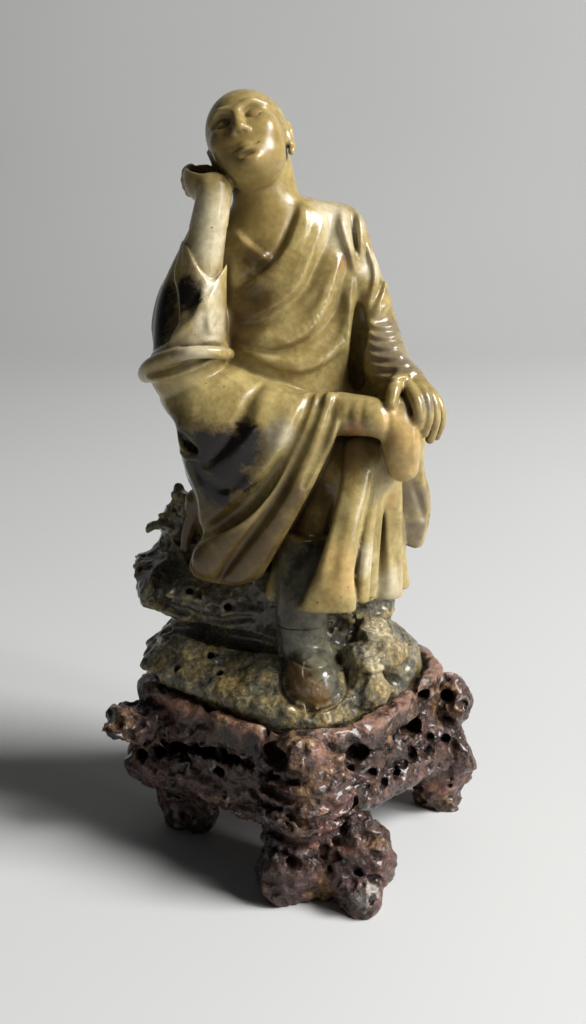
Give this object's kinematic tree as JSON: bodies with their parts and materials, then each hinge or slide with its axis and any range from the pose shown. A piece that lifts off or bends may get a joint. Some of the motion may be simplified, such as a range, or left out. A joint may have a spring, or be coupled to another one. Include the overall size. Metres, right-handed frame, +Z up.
{
  "type": "luohan figure",
  "caption": "Seated luohan in a draped robe, cheek on one hand, carved in soapstone with its rock seat. It lifts out of a separate pierced rockwork stand.",
  "frame": {"origin": "on the table, under the middle of the whole object's box", "axes": "+Z up, the figure faces -Y, +X towards the hand that holds the foot"},
  "size_m": [0.1266, 0.1222, 0.2494],
  "materials": {
    "honey_soapstone": "polished, waxed",
    "brown_soapstone": "rough hewn, worn satin on high points"
  },
  "bodies": {
    "stand": {"rockwork_stand": "brown_soapstone"},
    "figure": {"luohan_figure": "honey_soapstone"}
  },
  "joints": [
    {"name": "figure_lift", "type": "slide", "parent": "stand", "child": "figure", "axis": [0, 0, 1], "range_m": [0, 0.06]}
  ]
}
